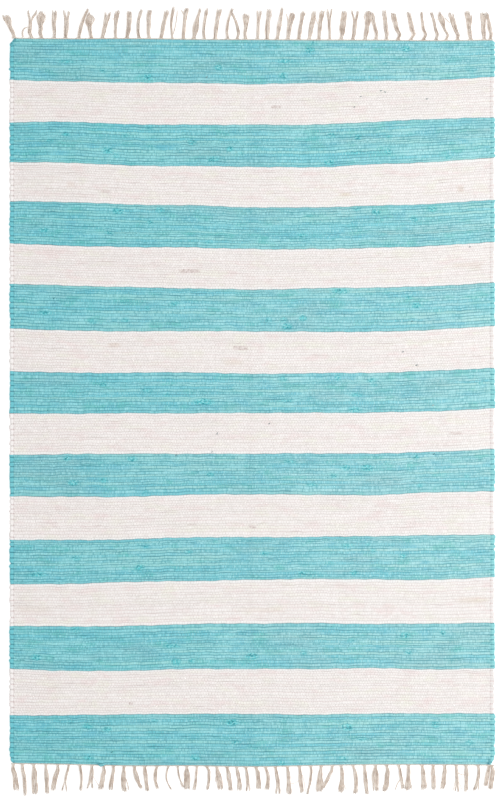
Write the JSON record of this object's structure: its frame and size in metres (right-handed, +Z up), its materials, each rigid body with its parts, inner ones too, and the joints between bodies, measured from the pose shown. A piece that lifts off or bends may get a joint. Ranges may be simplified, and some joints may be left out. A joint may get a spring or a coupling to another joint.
{
  "type": "rag rug",
  "caption": "Flat woven rag rug in turquoise and off-white crosswise bands, ribbed by its rag weft, with a knotted cotton fringe at each end.",
  "frame": {"origin": "on the floor under the middle of the rug's outline, fringe included", "axes": "+Y along the rug's length towards the far end, +X across its width, +Z up from the floor"},
  "size_m": [1.2122, 1.9542, 0.0065],
  "materials": {
    "turquoise_rag": "woven cotton rag strips, matte",
    "white_rag": "woven cotton rag strips, matte",
    "warp_yarn": "beige cotton warp yarn, matte"
  },
  "bodies": {
    "root": {"woven_rag_cloth": "turquoise_rag", "fringe_far_end": "warp_yarn", "fringe_near_end": "warp_yarn"}
  },
  "joints": []
}
